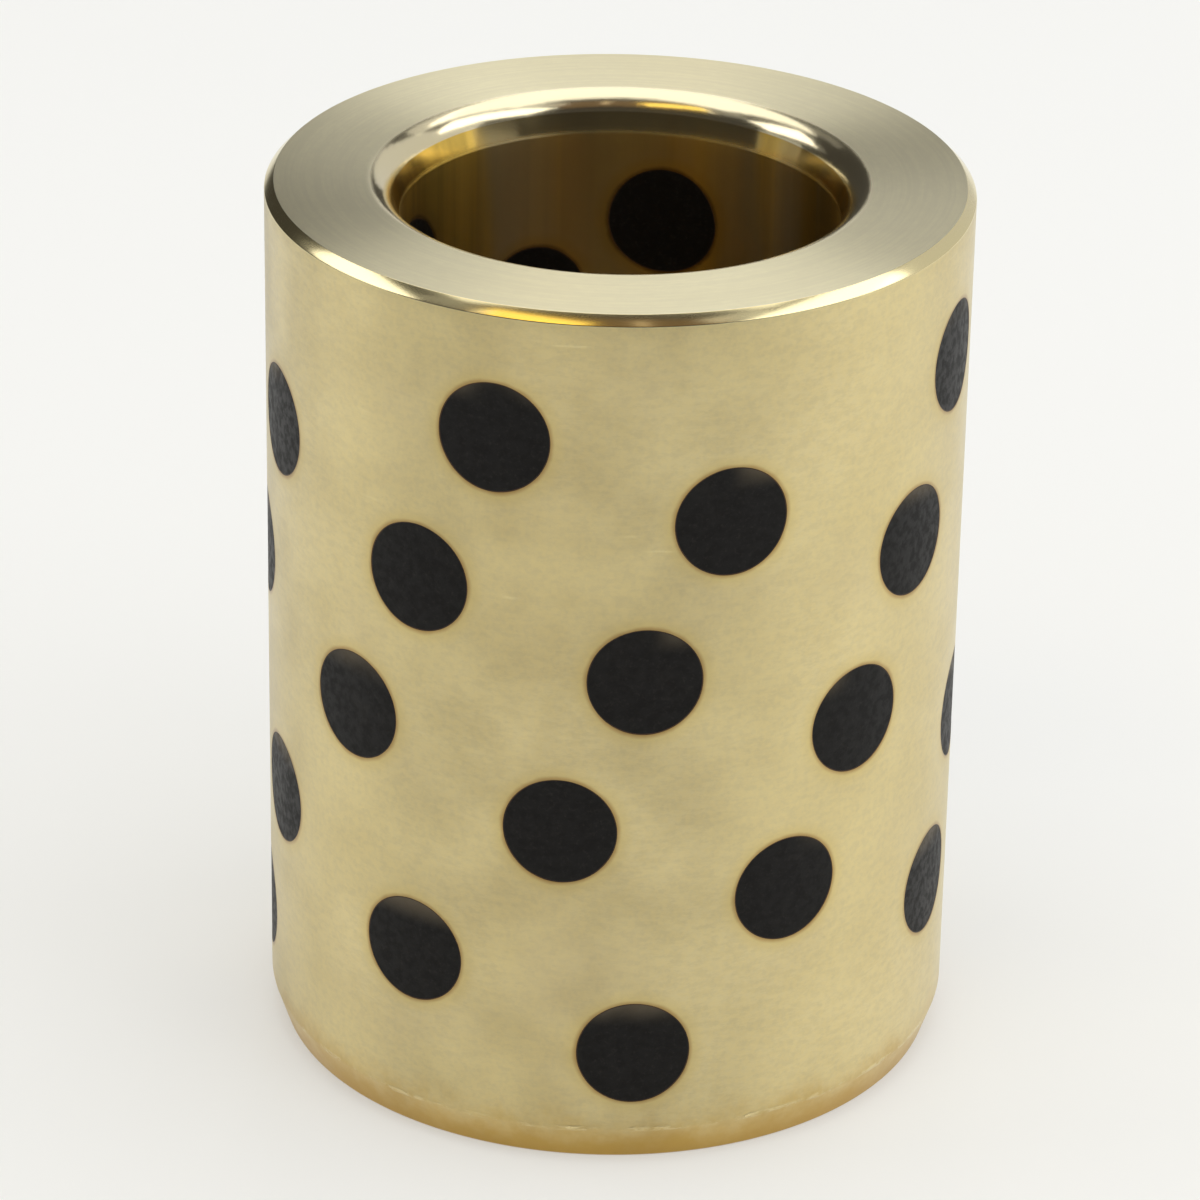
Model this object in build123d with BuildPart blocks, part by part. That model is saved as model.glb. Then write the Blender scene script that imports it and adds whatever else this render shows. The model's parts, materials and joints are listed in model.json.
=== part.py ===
from build123d import *

import os
from math import radians, tan

# Solid-lubricant sleeve bushing: a turned bronze sleeve with graphite plugs bonded into
# holes drilled through its wall, each plug flush with the outside and with the bore.
# Millimetres. The origin is on the bore's axis at the bottom face, +Z runs up the bore
# and -Y is the front. Angles go round from the front towards +X.

# The sleeve
outer_diameter = 50.0
bore_diameter = 31.0
length = 65.5
top_chamfer = 0.65        # 45 degree chamfer round the top of the outside
lead_in_height = 2.75     # long chamfer round the bottom, which starts the press fit
lead_in_inset = 0.93      # how far that chamfer takes the bottom edge in
mouth_depth = 2.8         # the taper that opens each end of the bore
mouth_slope = 20.0        # that taper's angle from the bore's axis
mouth_rounding = 2.0      # round edge from the end face into the taper

# The graphite plugs
plug_diameter = 8.0
bond_line = 0.02          # film of adhesive all round a plug
rows = 9
top_margin = 9.5          # from the top face to the centres of the top row
bottom_margin = 9.05      # from the bottom face to the centres of the bottom row

# Four lines of plugs wind down the sleeve. Each starts in the top row at its own angle
# and turns by one step from row to row. The sleeve is drilled from the front and then
# from the back, and the two settings index by slightly different steps.
line_starts = {"a": -19.3, "b": 70.7, "c": 168.2, "d": 253.4}
front_step = 38.0
back_step = 36.0

outer_radius = outer_diameter / 2
bore_radius = bore_diameter / 2
mouth_radius = bore_radius + mouth_depth * tan(radians(mouth_slope))
row_pitch = (length - top_margin - bottom_margin) / (rows - 1)


def plug_angles(start):
    """One line's plug angles, from the top row down."""
    angles = [start]
    while len(angles) < rows:
        faces_back = 90 < angles[-1] % 360 < 270
        angles.append(angles[-1] + (back_step if faces_back else front_step))
    return angles


def drilling_plane(row, angle):
    """A plane through the bore's axis whose normal is the axis of one plug."""
    height = length - top_margin - row * row_pitch
    outwards = Vector(0, -1, 0).rotate(Axis.Z, angle)
    return Plane(origin=(0, 0, height), z_dir=outwards)


plug_places = {
    f"row{row + 1}_{line}": drilling_plane(row, angle)
    for line, start in line_starts.items()
    for row, angle in enumerate(plug_angles(start))
}

# The sleeve as it comes off the lathe, before it is drilled: half of its section, spun
with BuildPart() as turned_blank:
    with BuildSketch(Plane.XZ):
        with BuildLine():
            Polyline(
                (mouth_radius, 0),
                (outer_radius - lead_in_inset, 0),
                (outer_radius, lead_in_height),
                (outer_radius, length - top_chamfer),
                (outer_radius - top_chamfer, length),
                (mouth_radius, length),
                (bore_radius, length - mouth_depth),
                (bore_radius, mouth_depth),
                close=True,
            )
        section = make_face()
        mouth_corners = [v for v in section.vertices() if abs(v.X - mouth_radius) < 1e-6]
        fillet(mouth_corners, radius=mouth_rounding)
    revolve(axis=Axis.Z)

with BuildPart() as sleeve:
    add(turned_blank.part)
    for place in plug_places.values():
        with BuildSketch(place):
            Circle(plug_diameter / 2 + bond_line)
        extrude(amount=outer_diameter, mode=Mode.SUBTRACT)

sleeve.part.label = "sleeve"
os.makedirs("parts", exist_ok=True)
export_step(sleeve.part, "parts/sleeve.step")

# Each plug is cut to the blank's own wall, so its ends follow the outside and the bore
for place_name, place in plug_places.items():
    with BuildPart() as graphite_plug:
        with BuildSketch(place):
            Circle(plug_diameter / 2)
        extrude(amount=outer_diameter)
        add(turned_blank.part, mode=Mode.INTERSECT)
    graphite_plug.part.label = f"graphite_plug_{place_name}"
    export_step(graphite_plug.part, f"parts/{graphite_plug.part.label}.step")
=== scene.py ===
import json
from math import atan2, cos, hypot, pi, radians, sin, sqrt, tan

import bmesh
import bpy
from mathutils import Matrix, Vector
from mathutils.kdtree import KDTree


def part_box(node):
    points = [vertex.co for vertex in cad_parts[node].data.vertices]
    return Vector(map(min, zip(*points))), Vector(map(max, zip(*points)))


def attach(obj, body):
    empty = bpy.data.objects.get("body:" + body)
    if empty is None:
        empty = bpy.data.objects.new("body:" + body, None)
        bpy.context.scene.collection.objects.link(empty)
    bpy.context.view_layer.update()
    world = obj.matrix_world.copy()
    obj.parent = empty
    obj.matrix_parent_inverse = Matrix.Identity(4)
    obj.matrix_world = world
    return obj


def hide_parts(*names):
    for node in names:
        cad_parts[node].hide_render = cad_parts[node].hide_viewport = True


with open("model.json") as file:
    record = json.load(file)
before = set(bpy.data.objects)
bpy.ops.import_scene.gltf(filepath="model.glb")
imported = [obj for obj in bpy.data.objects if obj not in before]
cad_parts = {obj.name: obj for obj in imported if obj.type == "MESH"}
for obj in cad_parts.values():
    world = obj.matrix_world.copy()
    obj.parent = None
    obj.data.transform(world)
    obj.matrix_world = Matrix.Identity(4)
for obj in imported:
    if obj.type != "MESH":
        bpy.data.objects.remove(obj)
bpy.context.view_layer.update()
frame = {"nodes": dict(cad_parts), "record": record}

# A solid-lubricant sleeve bushing: a turned bronze sleeve with graphite plugs bonded into
# its wall. Metres, with +Z up the bore and -Y the front, as in the frame.

MM = 0.001

# ---------------------------------------------------------------- sizes from the frame
mounts = {mount["name"]: mount for mount in frame["record"]["mounts"]}
bore, housing_fit = mounts["bore"], mounts["housing_fit"]
OUTER_RADIUS = housing_fit["dims"]["r_mm"] * MM
BORE_RADIUS = bore["dims"]["r_mm"] * MM
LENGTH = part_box("sleeve")[1].z
PLAIN_LENGTH = housing_fit["dims"]["length_mm"] * MM
LEAD_IN_HEIGHT = housing_fit["pos_m"][2] - PLAIN_LENGTH / 2
TOP_CHAMFER = LENGTH - LEAD_IN_HEIGHT - PLAIN_LENGTH
MOUTH_DEPTH = (LENGTH - bore["dims"]["length_mm"] * MM) / 2
LEAD_IN_INSET = 0.93 * MM     # how far the lead-in takes the bottom edge in
MOUTH_SLOPE = radians(20)     # the taper's angle from the bore's axis
MOUTH_RADIUS = BORE_RADIUS + MOUTH_DEPTH * tan(MOUTH_SLOPE)
MOUTH_ROUNDING = 2.0 * MM     # round edge from the end face into that taper
ROUNDING_START = MOUTH_RADIUS + MOUTH_ROUNDING * tan((pi / 2 - MOUTH_SLOPE) / 2)
BOND_LINE = 0.02 * MM         # film of adhesive all round a plug

# ---------------------------------------------------------------- finish of the edges
WALL_CORNER = 0.10 * MM       # edge broken where the top chamfer meets the wall
RIM_CORNER = 0.06 * MM        # and where it meets the top face
LEAD_IN_CORNER = 0.15 * MM    # reach of the softer edge where the lead-in meets the wall
LEAD_IN_TURN = radians(9)     # about half of what the outline turns by there
FOOT_CORNER = 0.30 * MM       # bottom edge
BORE_CORNER = 0.08 * MM       # where a mouth's taper meets the bore

TURNS = 360                   # facets round the sleeve
SECTORS = 12                  # equal sectors that its turn is built up from
WALL_ROWS = 56                # rows of facets along the wall and along the bore
PLUG_TURNS = 96               # facets round a plug
PLUG_RINGS = 9                # rings of facets across a plug's end
PLUG_EDGE = 0.07 * MM         # the crumbled edge of a plug, filled with adhesive
PLUG_SINK = 0.012 * MM        # how far the soft graphite lies under the bronze
FILM_SINK = 0.02 * MM         # and the adhesive

JOIN = 0.0001 * MM            # corners nearer than this are made one
FINE_JOIN = 0.00001 * MM      # and on a plug, which is smaller

WALL, FACE, POLISH, BORE, SEAT = range(5)   # the sleeve's five finishes

# ---------------------------------------------------------------- the bronze's tones
WALL_BRONZE = (0.76, 0.64, 0.32, 1)
WALL_PALE = (0.81, 0.69, 0.37, 1)
WALL_GREY = (0.70, 0.59, 0.31, 1)
WALL_WARM = (0.86, 0.71, 0.33, 1)
WALL_SMUDGE = (0.60, 0.50, 0.31, 1)
WALL_STAIN = (0.44, 0.26, 0.07, 1)      # resin next to a plug
WALL_TINT = (0.72, 0.57, 0.21, 1)       # and a little past it
# browner tone blended in towards the bottom edge of the wall
FOOT_BROWN = (0.58, 0.36, 0.055, 1)
FACE_BRONZE = (0.82, 0.76, 0.52, 1)
FACE_PALE = (0.87, 0.81, 0.57, 1)
FACE_GREY = (0.77, 0.71, 0.50, 1)
MOUTH_TONE = (0.88, 0.78, 0.52, 1)
POLISHED_TONE = (0.85, 0.74, 0.42, 1)
# the bore's two main tones, darker and warmer than the outside's, are painted shade inside the
# bore, and the brighter one is laid on in streaks as painted reflections
BORE_SHADED_BRONZE = (0.60, 0.39, 0.08, 1)
BORE_REFLECTED_GOLD = (0.85, 0.58, 0.12, 1)
BORE_GREY = (0.58, 0.49, 0.28, 1)
BORE_STAIN = (0.16, 0.08, 0.02, 1)
BORE_TINT = (0.62, 0.42, 0.11, 1)
HOLE_BRONZE = (0.25, 0.17, 0.07, 1)

# ---------------------------------------------------------------- the other tones
GRAPHITE_BLACK = (0.0035, 0.0030, 0.0026, 1)
GRAPHITE_SPECK = (0.012, 0.0104, 0.0088, 1)
GRAPHITE_CLOUD = (0.013, 0.0115, 0.010, 1)
# a painted highlight on the graphite near the top of a plug's outer end
PLUG_TOP_SHEEN = (0.13, 0.105, 0.070, 1)
RESIN_DARK = (0.020, 0.010, 0.005, 1)
RESIN_AMBER = (0.060, 0.028, 0.010, 1)
TABLE_WHITE = (0.90, 0.905, 0.89, 1)
TABLE_FAR_WHITE = (0.93, 0.935, 0.92, 1)


# ---------------------------------------------------------------- meshes
def finished_object(name, bm, materials, sharp=radians(22)):
    """A new object in the scene from a bmesh, smooth shaded apart from its sharp edges."""
    mesh = bpy.data.meshes.new(name)
    bm.to_mesh(mesh)
    bm.free()
    for material in materials:
        mesh.materials.append(material)
    mesh.polygons.foreach_set("use_smooth", [True] * len(mesh.polygons))
    mesh.set_sharp_from_angle(angle=sharp)
    thing = bpy.data.objects.new(name, mesh)
    bpy.context.scene.collection.objects.link(thing)
    return thing


def round_corner(bm, vertex, radius, segments):
    """Rounds one corner of an outline with a true radius."""
    one, two = (edge.other_vert(vertex).co - vertex.co for edge in vertex.link_edges)
    reach = radius * tan((pi - one.angle(two)) / 2)
    bmesh.ops.bevel(
        bm, geom=[vertex], offset=reach, offset_type="OFFSET", segments=segments,
        profile=0.5, affect="VERTICES", material=-1,
    )


def turned_blank():
    """The sleeve before drilling: its section, with its corners broken, spun round the bore."""
    bm = bmesh.new()
    outline = [
        (MOUTH_RADIUS, 0, MOUTH_ROUNDING, 10),
        (OUTER_RADIUS - LEAD_IN_INSET, 0, FOOT_CORNER, 5),
        (OUTER_RADIUS, LEAD_IN_HEIGHT, LEAD_IN_CORNER / tan(LEAD_IN_TURN), 5),
        (OUTER_RADIUS, LENGTH - TOP_CHAMFER, WALL_CORNER, 3),
        (OUTER_RADIUS - TOP_CHAMFER, LENGTH, RIM_CORNER, 3),
        (MOUTH_RADIUS, LENGTH, MOUTH_ROUNDING, 14),
        (BORE_RADIUS, LENGTH - MOUTH_DEPTH, BORE_CORNER, 3),
        (BORE_RADIUS, MOUTH_DEPTH, BORE_CORNER, 3),
    ]
    corners = [bm.verts.new((radius, 0, height)) for radius, height, _, _ in outline]
    for number, corner in enumerate(corners):
        bm.edges.new((corner, corners[(number + 1) % len(corners)]))
    for corner, (_, _, rounding, segments) in zip(corners, outline):
        round_corner(bm, corner, rounding, segments)
    long_edges = [edge for edge in bm.edges if edge.calc_length() > LENGTH / 2]
    bmesh.ops.subdivide_edges(bm, edges=long_edges, cuts=WALL_ROWS)
    around = {"cent": (0, 0, 0), "axis": (0, 0, 1)}
    bmesh.ops.spin(
        bm, geom=bm.verts[:] + bm.edges[:], angle=2 * pi / SECTORS,
        steps=TURNS // SECTORS, **around,
    )
    bmesh.ops.spin(
        bm, geom=bm.verts[:] + bm.edges[:] + bm.faces[:], use_duplicate=True,
        angle=2 * pi * (SECTORS - 1) / SECTORS, steps=SECTORS - 1, **around,
    )
    bmesh.ops.remove_doubles(bm, verts=bm.verts, dist=JOIN)
    bmesh.ops.recalc_face_normals(bm, faces=bm.faces)
    return bm


def solid_middle(mesh):
    """The centre of volume of a closed mesh."""
    mesh.calc_loop_triangles()
    volume, moment = 0.0, Vector()
    for triangle in mesh.loop_triangles:
        a, b, c = (mesh.vertices[index].co for index in triangle.vertices)
        part = a.dot(b.cross(c))
        volume += part
        moment += part * (a + b + c) / 4
    return moment / volume


def plug_place(node):
    """A plug's radius, and the turn and lift that take the X axis to its own axis."""
    low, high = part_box(node)
    middle = solid_middle(frame["nodes"][node].data)
    turn = Matrix.Rotation(atan2(middle.y, middle.x), 4, "Z")
    lift = Matrix.Translation((0, 0, (low.z + high.z) / 2))
    return (high.z - low.z) / 2, lift @ turn


PLUGS = {name: plug_place(name) for name in frame["nodes"] if name != "sleeve"}
PLUG_RADIUS = max(radius for radius, _ in PLUGS.values())
HOLE_RADIUS = PLUG_RADIUS + BOND_LINE


def drill_all(blank):
    """Cuts the plugs' holes through the blank's wall and returns the drilled mesh."""
    bm = bmesh.new()
    tip = BORE_RADIUS * 0.8       # a drill's tip is in the bore, and its shank is outside
    shank = OUTER_RADIUS * 1.1
    lying = Matrix.Translation(((tip + shank) / 2, 0, 0)) @ Matrix.Rotation(pi / 2, 4, "Y")
    for _, place in PLUGS.values():
        bmesh.ops.create_cone(
            bm, cap_ends=True, segments=PLUG_TURNS, radius1=HOLE_RADIUS,
            radius2=HOLE_RADIUS, depth=shank - tip, matrix=place @ lying,
        )
    drills = finished_object("drills", bm, [])
    cut = blank.modifiers.new("drill", "BOOLEAN")
    cut.operation = "DIFFERENCE"
    cut.solver = "MANIFOLD"
    cut.object = drills
    drilled = bpy.data.meshes.new_from_object(
        blank.evaluated_get(bpy.context.evaluated_depsgraph_get())
    )
    blank.modifiers.clear()
    bpy.data.objects.remove(drills)
    return drilled


def finish_of(face):
    """Which of the sleeve's finishes a face has, from where it lies and how it slopes."""
    middle, normal = face.calc_center_median(), face.normal
    outwards = Vector((middle.x, middle.y, 0)).normalized()
    radius = hypot(middle.x, middle.y)
    flare = normal.dot(outwards)      # 1 facing out, 0 facing up or down, -1 facing the axis
    on_the_outside = radius > OUTER_RADIUS - LEAD_IN_INSET * 1.5
    on_the_bore = radius < BORE_RADIUS * 1.01
    if on_the_outside and flare > 0.2:
        above_the_wall = middle.z > LENGTH - TOP_CHAMFER - WALL_CORNER / 2
        return POLISH if above_the_wall else WALL
    near_an_end = min(middle.z, LENGTH - middle.z) < MOUTH_DEPTH
    flatter_than_the_taper = abs(normal.z) > sin(MOUTH_SLOPE) * 1.05
    if near_an_end and flatter_than_the_taper and not on_the_bore:
        return FACE
    on_a_taper = abs(flare + cos(MOUTH_SLOPE)) < 0.01 and radius < MOUTH_RADIUS
    if on_a_taper or (on_the_bore and flare < -0.9):
        return BORE
    return SEAT


def plug_finder():
    """Finds the plug whose mouth, outside or in the bore, is nearest to a place."""
    finder = KDTree(2 * len(PLUGS))
    for number, (_, place) in enumerate(PLUGS.values()):
        for wall in (OUTER_RADIUS, BORE_RADIUS):
            finder.insert(place @ Vector((wall, 0, 0)), number)
    finder.balance()
    return finder


def sleeve_piece(materials):
    """The drilled sleeve with its finishes, and a UV map of the way to the nearest plug."""
    blank = finished_object("blank", turned_blank(), [])
    drilled = drill_all(blank)
    bpy.data.objects.remove(blank)
    bm = bmesh.new()
    bm.from_mesh(drilled)
    bpy.data.meshes.remove(drilled)
    bmesh.ops.remove_doubles(bm, verts=bm.verts, dist=JOIN)
    from_plug = bm.loops.layers.uv.new("from_plug")
    finder = plug_finder()
    into_plug = [place.inverted() for _, place in PLUGS.values()]
    for face in bm.faces:
        face.material_index = finish_of(face)
        _, number, _ = finder.find(face.calc_center_median())
        for loop in face.loops:
            near = into_plug[number] @ loop.vert.co
            loop[from_plug].uv = (near.y / HOLE_RADIUS, near.z / HOLE_RADIUS)
    return finished_object("bronze_sleeve", bm, materials)


def bend_to_the_walls(bm):
    """Moves both ends of what lies along X so that they follow the two round walls."""
    for vertex in bm.verts:
        wall = OUTER_RADIUS if vertex.co.x > (OUTER_RADIUS + BORE_RADIUS) / 2 else BORE_RADIUS
        vertex.co.x += sqrt(wall ** 2 - vertex.co.y ** 2) - wall


def plug_bm():
    """A plug along X: its section spun round its own axis, and its ends bent to the walls."""
    bm = bmesh.new()
    outer, inner = OUTER_RADIUS - PLUG_SINK, BORE_RADIUS + PLUG_SINK
    section = [
        (outer, 0), (outer, PLUG_RADIUS - PLUG_EDGE), (outer - PLUG_EDGE, PLUG_RADIUS),
        (inner + PLUG_EDGE, PLUG_RADIUS), (inner, PLUG_RADIUS - PLUG_EDGE), (inner, 0),
    ]
    corners = [bm.verts.new((along, 0, across)) for along, across in section]
    spokes = [bm.edges.new(pair) for pair in zip(corners, corners[1:])]
    bmesh.ops.subdivide_edges(bm, edges=[spokes[0], spokes[-1]], cuts=PLUG_RINGS)
    bmesh.ops.spin(
        bm, geom=bm.verts[:] + bm.edges[:], cent=(0, 0, 0), axis=(1, 0, 0),
        angle=2 * pi, steps=PLUG_TURNS, use_merge=True,
    )
    bmesh.ops.remove_doubles(bm, verts=bm.verts, dist=FINE_JOIN)
    bmesh.ops.recalc_face_normals(bm, faces=bm.faces)
    across_plug = bm.loops.layers.uv.new("across_plug")
    for face in bm.faces:
        for loop in face.loops:
            loop[across_plug].uv = (loop.vert.co.y / PLUG_RADIUS, loop.vert.co.z / PLUG_RADIUS)
    bend_to_the_walls(bm)
    return bm


def film_bm():
    """The adhesive seen round a plug's two ends: rings that fill its broken edge."""
    bm = bmesh.new()
    inside = PLUG_RADIUS - PLUG_EDGE * 1.1
    for wall, inwards in ((OUTER_RADIUS, -1), (BORE_RADIUS, 1)):
        level = wall + inwards * FILM_SINK
        foot = wall + inwards * 2 * PLUG_EDGE
        section = [(level, inside), (level, HOLE_RADIUS), (foot, HOLE_RADIUS), (foot, inside)]
        corners = [bm.verts.new((along, 0, across)) for along, across in section]
        ring = corners + [bm.edges.new((corners[n - 1], corners[n])) for n in range(4)]
        bmesh.ops.spin(
            bm, geom=ring, cent=(0, 0, 0), axis=(1, 0, 0),
            angle=2 * pi, steps=PLUG_TURNS, use_merge=True,
        )
    bmesh.ops.recalc_face_normals(bm, faces=bm.faces)
    bend_to_the_walls(bm)
    return bm


def copy_in_place(master, name, place):
    """A piece of its own from a master, put where a plug goes, with its place in its mesh."""
    mesh = master.data.copy()
    mesh.name = name
    mesh.transform(place)
    piece = bpy.data.objects.new(name, mesh)
    bpy.context.scene.collection.objects.link(piece)
    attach(piece, "root")
    return piece


# ---------------------------------------------------------------- materials
ACROSS_THE_MARKS = 0.25       # a quarter turn: gloss is drawn out across the lathe's marks


class Recipe:
    """A material's nodes, added one line at a time."""

    def __init__(self, name):
        self.material = bpy.data.materials.new(name)
        self.material.use_nodes = True
        tree = self.material.node_tree
        self.nodes, self.links = tree.nodes, tree.links
        self.shader = self.nodes["Principled BSDF"]
        self.here = self.add("ShaderNodeTexCoord").outputs["Object"]

    def add(self, kind, inputs=None, **settings):
        """A new node with its settings, and its inputs fed."""
        node = self.nodes.new(kind)
        for key, value in settings.items():
            setattr(node, key, value)
        for key, value in (inputs or {}).items():
            self.feed(node.inputs[key], value)
        return node

    def feed(self, socket, value):
        """Gives a socket a number or a colour, or joins another node's output to it."""
        if isinstance(value, bpy.types.NodeSocket):
            self.links.new(value, socket)
        else:
            socket.default_value = value

    def math(self, operation, *values, clamp=False):
        node = self.add("ShaderNodeMath", operation=operation, use_clamp=clamp)
        for socket, value in zip(node.inputs, values):
            self.feed(socket, value)
        return node.outputs[0]

    def times(self, one, two):
        return self.math("MULTIPLY", one, two)

    def split(self, vector):
        node = self.add("ShaderNodeSeparateXYZ", {"Vector": vector})
        return node.outputs[0], node.outputs[1], node.outputs[2]

    def join(self, x, y, z):
        return self.add("ShaderNodeCombineXYZ", {"X": x, "Y": y, "Z": z}).outputs[0]

    def noise(self, vector, scale, detail=3.0, roughness=0.5):
        """Cloudy noise: on a plain place in metres, scale is how many lumps a metre holds."""
        node = self.add("ShaderNodeTexNoise", {
            "Vector": vector, "Scale": scale, "Detail": detail, "Roughness": roughness,
        })
        return node.outputs["Fac"]

    def ramp(self, value, low, high, start=0.0, end=1.0):
        """start where the value is low, end where it is high, and smooth between them."""
        node = self.add("ShaderNodeMapRange", {
            "Value": value, "From Min": low, "From Max": high, "To Min": start, "To Max": end,
        }, interpolation_type="SMOOTHSTEP")
        return node.outputs["Result"]

    def blend(self, share, one, two):
        """The first colour where share is 0, and the second where it is 1."""
        node = self.add("ShaderNodeMix", data_type="RGBA")
        self.feed(node.inputs["Factor"], share)
        self.feed(node.inputs[6], one)
        self.feed(node.inputs[7], two)
        return node.outputs[2]

    def bump(self, height, distance, strength=1.0, under=None):
        """A surface that rises by distance, in metres, laid over another if one is given."""
        node = self.add("ShaderNodeBump", {
            "Height": height, "Distance": distance, "Strength": strength,
        })
        if under is not None:
            self.feed(node.inputs["Normal"], under)
        return node.outputs["Normal"]

    def length_of(self, x, y):
        return self.math("SQRT", self.math("ADD", self.times(x, x), self.times(y, y)))

    def round_the_bore(self):
        """(radius, height): the place on the sleeve, in metres."""
        x, y, z = self.split(self.here)
        return self.length_of(x, y), z

    def turned(self, along, fineness, length, start=0.0):
        """Where a noise is read so that it runs round the bore with no seam. along is the
        height, or the radius on a face; fineness is its marks to a metre, and the smaller
        the length, the further each mark is drawn out."""
        x, y, _ = self.split(self.here)
        radius = self.length_of(x, y)
        return self.join(
            self.times(self.math("DIVIDE", x, radius), length),
            self.times(self.math("DIVIDE", y, radius), length),
            self.math("ADD", self.times(along, fineness), start),
        )

    def turning_marks(self, along, fineness, length):
        """Fine marks that run round the bore."""
        return self.noise(self.turned(along, fineness, length), 1.0, 2.0)


def metal(recipe, colour, roughness, normal, grain):
    """Feeds a turned metal surface: grain is how far its marks draw out the gloss."""
    shader = recipe.shader
    shader.inputs["Metallic"].default_value = 1.0
    shader.inputs["Anisotropic"].default_value = grain
    shader.inputs["Anisotropic Rotation"].default_value = ACROSS_THE_MARKS
    recipe.feed(shader.inputs["Base Color"], colour)
    recipe.feed(shader.inputs["Roughness"], roughness)
    recipe.feed(shader.inputs["Normal"], normal)
    if grain:
        tangent = recipe.add("ShaderNodeTangent", direction_type="RADIAL", axis="Z")
        recipe.feed(shader.inputs["Tangent"], tangent.outputs[0])
    return recipe.material


def oil_film(recipe, weight, roughness):
    """The thin film of oil that a turned part is left with: a pale gloss over the metal."""
    recipe.shader.inputs["Coat Weight"].default_value = weight
    recipe.shader.inputs["Coat Roughness"].default_value = roughness


def stain_round_plugs(recipe, colour, stain, tint):
    """Resin that crept out round each plug: a dark uneven ring, and a faint tint past it."""
    uv = recipe.add("ShaderNodeUVMap", uv_map="from_plug").outputs[0]
    u, v, _ = recipe.split(uv)
    distance = recipe.length_of(u, v)
    uneven = recipe.noise(recipe.here, 420.0, 3.0, 0.6)
    creep = recipe.math("ADD", distance, recipe.ramp(uneven, 0.3, 0.7, 0.012, -0.012))
    tinted = recipe.blend(recipe.ramp(creep, 1.34, 1.02, 0.0, 0.55), colour, tint)
    return recipe.blend(recipe.ramp(creep, 1.09, 0.99, 0.0, 0.85), tinted, stain)


def outer_wall_bronze():
    """Satin turning with a dry grain, faint tarnish, handling marks, and a foot that turns
    darker and browner towards the bottom edge.
    """
    recipe = Recipe("outer_wall_bronze")
    _, height = recipe.round_the_bore()
    tarnish = recipe.noise(recipe.here, 60.0, 2.0, 0.5)
    mottle = recipe.noise(recipe.turned(height, 1900.0, 18.0), 1.0, 3.0, 0.75)
    warmth = recipe.noise(recipe.here, 2300.0, 2.0, 0.6)
    colour = recipe.blend(recipe.ramp(tarnish, 0.30, 0.70), WALL_BRONZE, WALL_PALE)
    colour = recipe.blend(recipe.ramp(mottle, 0.36, 0.64, 0.0, 0.65), colour, WALL_GREY)
    colour = recipe.blend(recipe.ramp(warmth, 0.35, 0.65, 0.0, 0.35), colour, WALL_WARM)

    smudges = recipe.noise(recipe.turned(height, 75.0, 2.4, 3.0), 1.0, 3.0, 0.5)
    colour = recipe.blend(recipe.ramp(smudges, 0.52, 0.76, 0.0, 0.22), colour, WALL_SMUDGE)
    colour = stain_round_plugs(recipe, colour, WALL_STAIN, WALL_TINT)

    # darker and browner towards the bottom edge, with a ragged top
    wander = recipe.noise(recipe.here, 260.0, 4.0, 0.65)
    wander = recipe.ramp(wander, 0.3, 0.7, -0.7 * MM, 0.7 * MM)
    ragged = recipe.math("ADD", height, wander)
    foot_darkening = recipe.ramp(ragged, 5.0 * MM, 0.1 * MM, 0.0, 0.95)
    colour = recipe.blend(foot_darkening, colour, FOOT_BROWN)

    # nicks burnished along the lead-in's corner: their bump and lower roughness are real wear,
    # and the paler tone blended into the colour there is a painted highlight
    nicks = recipe.noise(recipe.turned(height, 900.0, 9.0, 7.0), 1.0, 4.0, 0.7)
    from_corner = recipe.math("ABSOLUTE", recipe.math("SUBTRACT", height, LEAD_IN_HEIGHT))
    on_corner = recipe.ramp(from_corner, 0.30 * MM, 0.08 * MM)
    burnish_and_glint = recipe.times(on_corner, recipe.ramp(nicks, 0.46, 0.60))
    colour = recipe.blend(recipe.times(burnish_and_glint, 0.5), colour, POLISHED_TONE)

    marks = recipe.turning_marks(height, 9000.0, 0.6)
    grain = recipe.noise(recipe.here, 5200.0, 2.0, 0.6)
    skin = recipe.math("ADD", recipe.times(marks, 0.6), grain)
    normal = recipe.bump(skin, 0.004 * MM, 0.6)
    normal = recipe.bump(mottle, 0.006 * MM, 0.5, under=normal)
    normal = recipe.bump(burnish_and_glint, 0.05 * MM, 1.0, under=normal)
    oil_film(recipe, 0.55, 0.35)
    scuffs = recipe.turning_marks(height, 2600.0, 5.0)
    rough = recipe.ramp(recipe.noise(recipe.here, 160.0, 3.0), 0.3, 0.7, 0.41, 0.50)
    rough = recipe.math("SUBTRACT", rough, recipe.ramp(scuffs, 0.68, 0.78, 0.0, 0.12))
    rough = recipe.math("SUBTRACT", rough, recipe.times(burnish_and_glint, 0.18))
    return metal(recipe, colour, rough, normal, 0.8)


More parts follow.
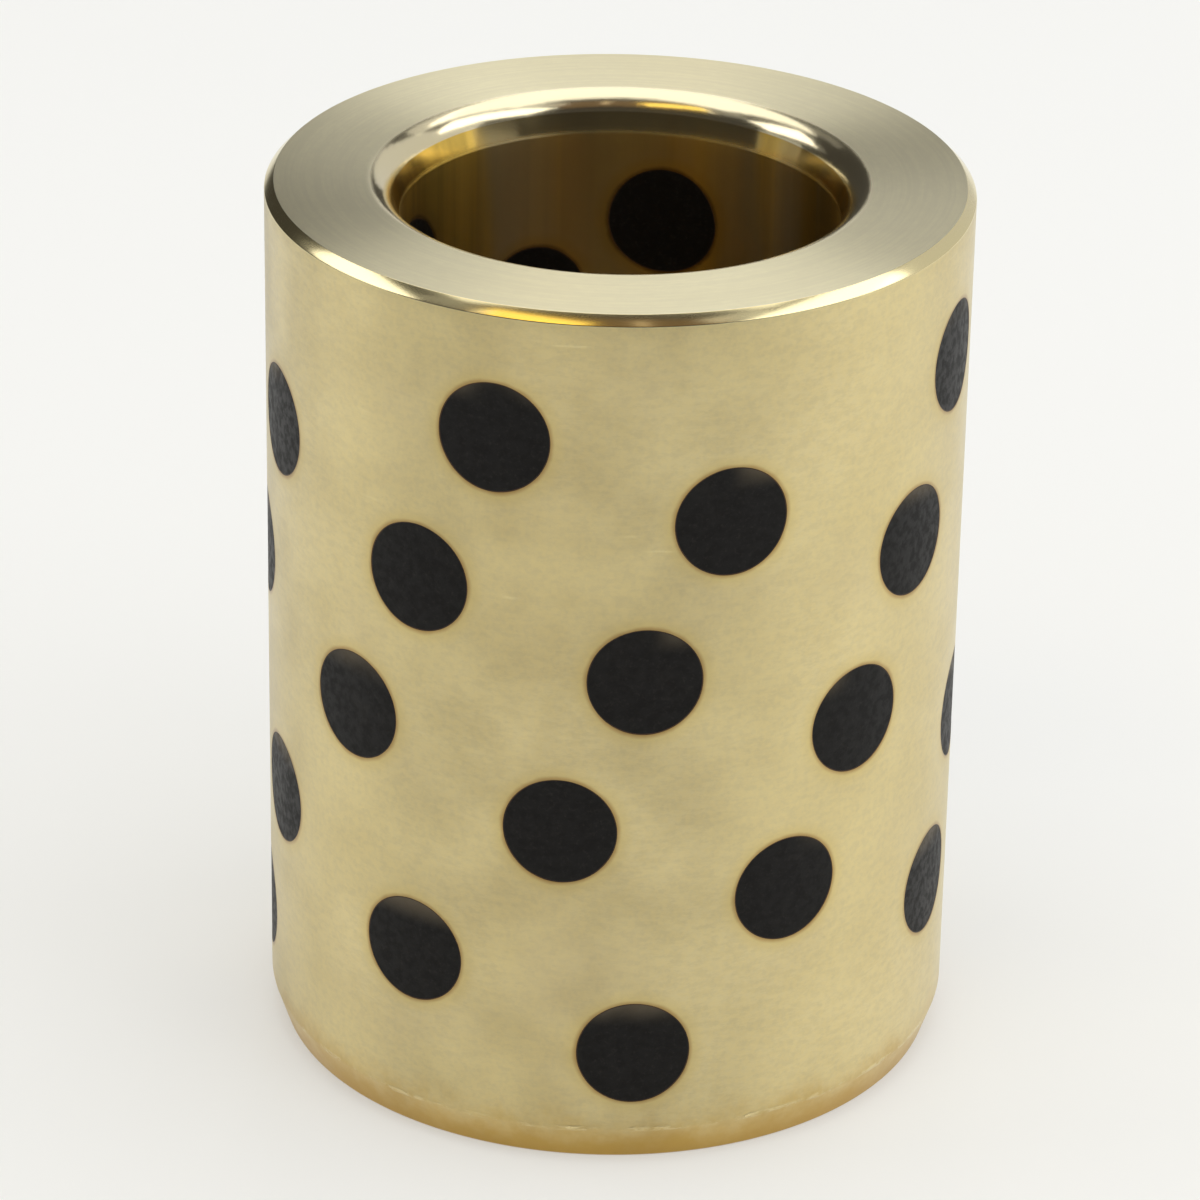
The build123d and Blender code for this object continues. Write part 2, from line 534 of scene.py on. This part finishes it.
def faced_bronze():
    """The faced ends: fine rings draw the gloss into fans, and the mouth's edge is polished."""
    recipe = Recipe("faced_bronze")
    radius, _ = recipe.round_the_bore()
    polish = recipe.ramp(radius, ROUNDING_START, ROUNDING_START - 0.6 * MM)
    marks = recipe.turning_marks(radius, 12000.0, 0.8)
    feed = recipe.turning_marks(radius, 3600.0, 1.6)
    colour = recipe.blend(recipe.noise(recipe.here, 120.0, 3.0), FACE_BRONZE, FACE_PALE)
    colour = recipe.blend(recipe.ramp(feed, 0.35, 0.65, 0.0, 0.5), colour, FACE_GREY)
    mottle = recipe.noise(recipe.turned(radius, 1900.0, 18.0), 1.0, 3.0, 0.7)
    colour = recipe.blend(recipe.ramp(mottle, 0.35, 0.65, 0.0, 0.4), colour, FACE_GREY)
    colour = recipe.blend(polish, colour, MOUTH_TONE)
    wobble = recipe.noise(recipe.turned(radius, 900.0, 4.0), 1.0, 3.0)
    normal = recipe.bump(marks, 0.003 * MM, 0.5)
    normal = recipe.bump(feed, 0.004 * MM, 0.5, under=normal)
    normal = recipe.bump(wobble, 0.030 * MM, polish, under=normal)
    rough = recipe.math("SUBTRACT", 0.42, recipe.times(polish, 0.26))
    return metal(recipe, colour, rough, normal, 0.85)


def polished_bronze():
    """The top chamfer, polished with a strip of cloth while the sleeve turned."""
    recipe = Recipe("polished_bronze")
    _, height = recipe.round_the_bore()
    marks = recipe.turning_marks(height, 15000.0, 0.8)
    wobble = recipe.noise(recipe.turned(height, 300.0, 6.0), 1.0, 3.0)
    normal = recipe.bump(marks, 0.0008 * MM, 0.4)
    normal = recipe.bump(wobble, 0.004 * MM, 1.0, under=normal)
    return metal(recipe, POLISHED_TONE, 0.165, normal, 0.4)


def bored_bronze():
    """The bore: glossier than the outside, with the boring bar's fine rings. Its darker, warmer
    tones than the outside are painted shade inside the bore, and its brighter streaks along the
    bore are painted reflections.
    """
    recipe = Recipe("bored_bronze")
    radius, height = recipe.round_the_bore()
    marks = recipe.turning_marks(height, 5000.0, 1.2)
    # brighter streaks along the bore: painted reflections
    reflection_streaks = recipe.noise(recipe.turned(height, 6.0, 5.0), 1.0, 4.0, 0.6)
    colour = recipe.blend(recipe.ramp(reflection_streaks, 0.38, 0.62), BORE_SHADED_BRONZE, BORE_REFLECTED_GOLD)
    tarnish = recipe.noise(recipe.turned(height, 12.0, 1.6, 4.0), 1.0, 3.0)
    colour = recipe.blend(recipe.ramp(tarnish, 0.45, 0.62, 0.0, 0.8), colour, BORE_GREY)
    colour = stain_round_plugs(recipe, colour, BORE_STAIN, BORE_TINT)
    taper = recipe.ramp(radius, BORE_RADIUS, BORE_RADIUS + 0.15 * MM)
    normal = recipe.bump(marks, 0.005 * MM, 0.5)
    oil_film(recipe, 0.2, 0.2)
    rough = recipe.math("SUBTRACT", 0.32, recipe.times(taper, 0.17))
    return metal(recipe, colour, rough, normal, 0.8)


def drilled_bronze():
    """The walls of the plugs' holes, which the resin stains."""
    recipe = Recipe("drilled_bronze")
    normal = recipe.bump(recipe.noise(recipe.here, 4000.0), 0.01 * MM)
    return metal(recipe, HOLE_BRONZE, 0.5, normal, 0.0)


def graphite():
    """Pressed graphite, turned flush: near black, with a patchy painted highlight near the top
    edge of each plug's outer end.
    """
    recipe = Recipe("graphite")
    shader = recipe.shader
    radius, height = recipe.round_the_bore()
    uv = recipe.add("ShaderNodeUVMap", uv_map="across_plug").outputs[0]
    _, up_plug, _ = recipe.split(uv)
    speck = recipe.noise(recipe.here, 3500.0, 3.0, 0.7)
    cloud = recipe.noise(recipe.here, 420.0, 4.0, 0.6)
    pores = recipe.noise(recipe.here, 1500.0, 3.0, 0.6)
    colour = recipe.blend(recipe.ramp(speck, 0.50, 0.78), GRAPHITE_BLACK, GRAPHITE_SPECK)
    colour = recipe.blend(recipe.ramp(cloud, 0.52, 0.80, 0.0, 0.5), colour, GRAPHITE_CLOUD)
    # a patchy painted highlight, lighter towards the top of each plug's outer end
    patchy = recipe.noise(recipe.turned(height, 90.0, 2.0), 1.0, 2.0)
    outside = recipe.ramp(radius, BORE_RADIUS, OUTER_RADIUS)
    plug_sheen = recipe.times(recipe.ramp(up_plug, 0.50, 1.05), recipe.ramp(patchy, 0.42, 0.56))
    plug_sheen = recipe.times(plug_sheen, outside)
    colour = recipe.blend(recipe.times(plug_sheen, 0.8), colour, PLUG_TOP_SHEEN)
    recipe.feed(shader.inputs["Base Color"], colour)
    recipe.feed(shader.inputs["Roughness"], recipe.ramp(pores, 0.36, 0.62, 0.60, 0.44))
    shader.inputs["Specular IOR Level"].default_value = 0.19
    normal = recipe.bump(recipe.turning_marks(height, 7000.0, 0.8), 0.004 * MM, 0.4)
    normal = recipe.bump(pores, 0.030 * MM, 0.6, under=normal)
    recipe.feed(shader.inputs["Normal"], recipe.bump(speck, 0.012 * MM, 0.5, under=normal))
    return recipe.material


def adhesive():
    """The film that bonds the plugs: dark amber resin."""
    recipe = Recipe("adhesive")
    shader = recipe.shader
    amber = recipe.noise(recipe.here, 300.0, 2.0)
    colour = recipe.blend(recipe.ramp(amber, 0.35, 0.65), RESIN_DARK, RESIN_AMBER)
    recipe.feed(shader.inputs["Base Color"], colour)
    shader.inputs["Roughness"].default_value = 0.45
    shader.inputs["Specular IOR Level"].default_value = 0.3
    return recipe.material


# ---------------------------------------------------------------- the bushing
sleeve = sleeve_piece([
    outer_wall_bronze(), faced_bronze(), polished_bronze(), bored_bronze(), drilled_bronze(),
])
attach(sleeve, "root")
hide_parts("sleeve")

master_plug = finished_object("master_plug", plug_bm(), [graphite()])
master_film = finished_object("master_film", film_bm(), [adhesive()])
for node, (_, place) in PLUGS.items():
    plug = copy_in_place(master_plug, node.replace("graphite_plug", "plug"), place)
    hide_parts(node)
    copy_in_place(master_film, node.replace("graphite_plug", "bond_film"), place)
for master in (master_plug, master_film):
    bpy.data.objects.remove(master)

# ---------------------------------------------------------------- the studio
AIM = Vector((0, 0, LENGTH * 0.6))   # what every light faces
REACH = 1.2                   # distance of every light from there
TABLE_RADIUS = 6.0
ROOM_TINT = (1.0, 0.95, 0.88, 1)
ROOM_GLOW = 0.05              # the dim room between the lights


def pale_table():
    """A pale matt table. Part of its light is its own where it is looked at, mirrored or seen
    through, so that it turns plain white with distance, and the rest keeps the shadow."""
    recipe = Recipe("pale_table")
    recipe.shader.inputs["Base Color"].default_value = TABLE_WHITE
    recipe.shader.inputs["Roughness"].default_value = 0.8
    recipe.shader.inputs["Specular IOR Level"].default_value = 0.2
    rays = recipe.add("ShaderNodeLightPath").outputs
    across, along, _ = recipe.split(recipe.here)
    away = recipe.length_of(across, along)
    in_view = recipe.times(rays["Is Camera Ray"], recipe.ramp(away, 0.35, 1.6, 0.35, 1.0))
    mirrored = recipe.math("MAXIMUM", rays["Is Glossy Ray"], rays["Is Transmission Ray"])
    mirrored = recipe.times(mirrored, recipe.ramp(away, 0.9, 0.35, 0.0, 0.35))
    plain = recipe.add("ShaderNodeEmission", {"Color": TABLE_FAR_WHITE})
    mix = recipe.add("ShaderNodeMixShader", {0: recipe.math("MAXIMUM", in_view, mirrored)})
    recipe.feed(mix.inputs[1], recipe.shader.outputs[0])
    recipe.feed(mix.inputs[2], plain.outputs[0])
    recipe.feed(recipe.nodes["Material Output"].inputs["Surface"], mix.outputs[0])
    return recipe.material


floor_bm = bmesh.new()
bmesh.ops.create_circle(floor_bm, cap_ends=True, radius=TABLE_RADIUS, segments=64)
floor = finished_object("table", floor_bm, [pale_table()])

world = bpy.data.worlds.new("room")
bpy.context.scene.world = world
world.use_nodes = True
room = world.node_tree.nodes["Background"].inputs
room["Color"].default_value = ROOM_TINT
room["Strength"].default_value = ROOM_GLOW


def from_middle(azimuth, elevation):
    """A place round the bushing: azimuth from the back (+Y) towards +X, in degrees."""
    a, e = radians(azimuth), radians(elevation)
    return AIM + Vector((sin(a) * cos(e), cos(a) * cos(e), sin(e))) * REACH


def softbox(name, azimuth, elevation, wide, high, glow, colour=(1, 1, 1)):
    """A light that fills wide by high degrees, and glows as brightly as glow white cards."""
    lamp = bpy.data.lights.new(name, "AREA")
    lamp.shape = "RECTANGLE"
    lamp.size = 2 * REACH * tan(radians(wide / 2))
    lamp.size_y = 2 * REACH * tan(radians(high / 2))
    lamp.energy = glow * pi * lamp.size * lamp.size_y
    lamp.color = colour
    light = bpy.data.objects.new(name, lamp)
    place = from_middle(azimuth, elevation)
    facing = (place - AIM).to_track_quat("Z", "Y").to_matrix().to_4x4()
    light.matrix_world = Matrix.Translation(place) @ facing
    light.visible_camera = False
    bpy.context.scene.collection.objects.link(light)
    return light


softbox("top_softbox", 0, 75, 66, 50, 1.35)
softbox("left_softbox", -80, 36, 33, 20, 2.0)
softbox("right_softbox", 101, 43, 54, 22, 2.0)
softbox("right_wall", 57, 17, 86, 42, 0.58)
softbox("right_high_wall", 30, 44, 26, 14, 0.55)
softbox("right_low_card", 110, 6, 30, 16, 0.45)
softbox("right_top_card", 127, 58, 16, 8, 0.5)
softbox("back_wall", 0, 26, 10, 36, 0.78)
softbox("back_high_card", 0, 45, 14, 9, 1.35)
softbox("left_wall", -92, 8, 28, 22, 0.35)
softbox("left_high_card", -26, 40, 14, 12, 0.15)
softbox("left_low_card", -60, 26, 10, 10, 0.12)
softbox("left_top_card", -107, 51, 12, 10, 0.25)
softbox("warm_ceiling", 180, 57, 50, 22, 0.12, (1.0, 0.55, 0.18))
softbox("brass_lamp", -145, 57, 24, 12, 1.7, (1.0, 0.72, 0.16))
softbox("left_strip", -123, 52, 3, 10, 1.2, (1.0, 0.9, 0.75))
softbox("right_strip", 169, 60, 3, 10, 0.6, (1.0, 0.85, 0.65))
table_fill = softbox("table_fill", 180, 50, 90, 50, 1.2)
table_fill.visible_glossy = False

# ---------------------------------------------------------------- the camera
FOCAL_LENGTH = 168.4          # millimetres, with a 36 mm sensor
CAMERA_BACK = 14.659          # outer radii from the axis
CAMERA_HIGH = 8.507           # outer radii above the table
LOOKS_DOWN = 26.194           # degrees
LOOKS_LEFT = 0.1435           # degrees
LEANS = 1.0317                # a slight tilt of the camera about its own axis

lens = bpy.data.cameras.new("camera")
lens.lens = FOCAL_LENGTH
lens.sensor_width = 36
camera = bpy.data.objects.new("camera", lens)
camera.matrix_world = (
    Matrix.Translation((0, -CAMERA_BACK * OUTER_RADIUS, CAMERA_HIGH * OUTER_RADIUS))
    @ Matrix.Rotation(radians(LOOKS_LEFT), 4, "Z")
    @ Matrix.Rotation(radians(90 - LOOKS_DOWN), 4, "X")
    @ Matrix.Rotation(radians(LEANS), 4, "Z")
)
bpy.context.scene.collection.objects.link(camera)
bpy.context.scene.camera = camera
bpy.context.scene.view_settings.view_transform = "Standard"
